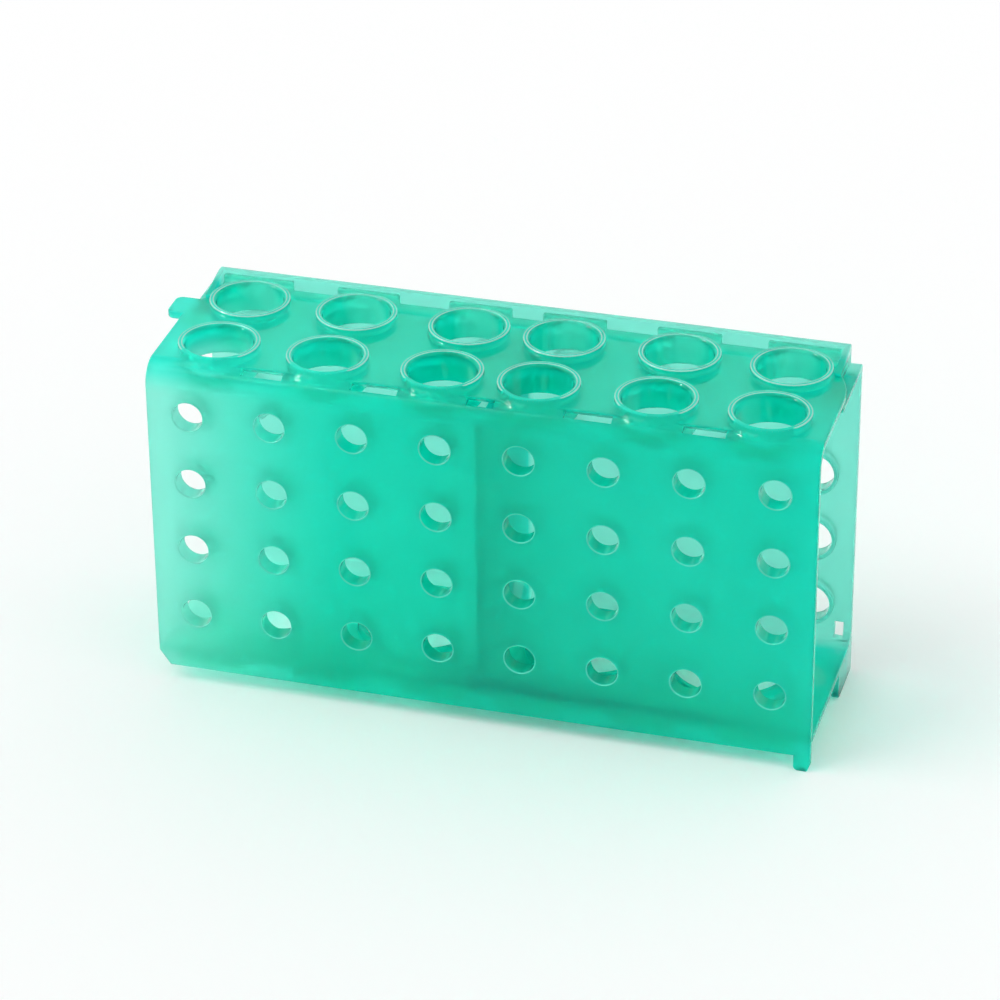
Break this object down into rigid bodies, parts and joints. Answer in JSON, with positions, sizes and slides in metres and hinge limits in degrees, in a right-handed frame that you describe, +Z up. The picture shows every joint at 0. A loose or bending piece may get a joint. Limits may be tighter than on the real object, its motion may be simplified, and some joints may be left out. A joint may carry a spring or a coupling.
{
  "type": "four-way tube rack",
  "caption": "Open-ended box rack whose top, front, back and base are each pierced for a different size of test tube, clipped together from two folded shells.",
  "frame": {"origin": "middle of the rack's outline, at the level of the feet's undersides", "axes": "+X along the rack towards its right end, +Y from the front panel to the back panel, +Z up"},
  "size_m": [0.1774, 0.051, 0.0955],
  "materials": {
    "green_polypropylene": "translucent milky teal-green moulded polypropylene, glossy"
  },
  "bodies": {
    "root": {"front_top_shell": "green_polypropylene", "back_bottom_shell": "green_polypropylene"}
  },
  "joints": []
}
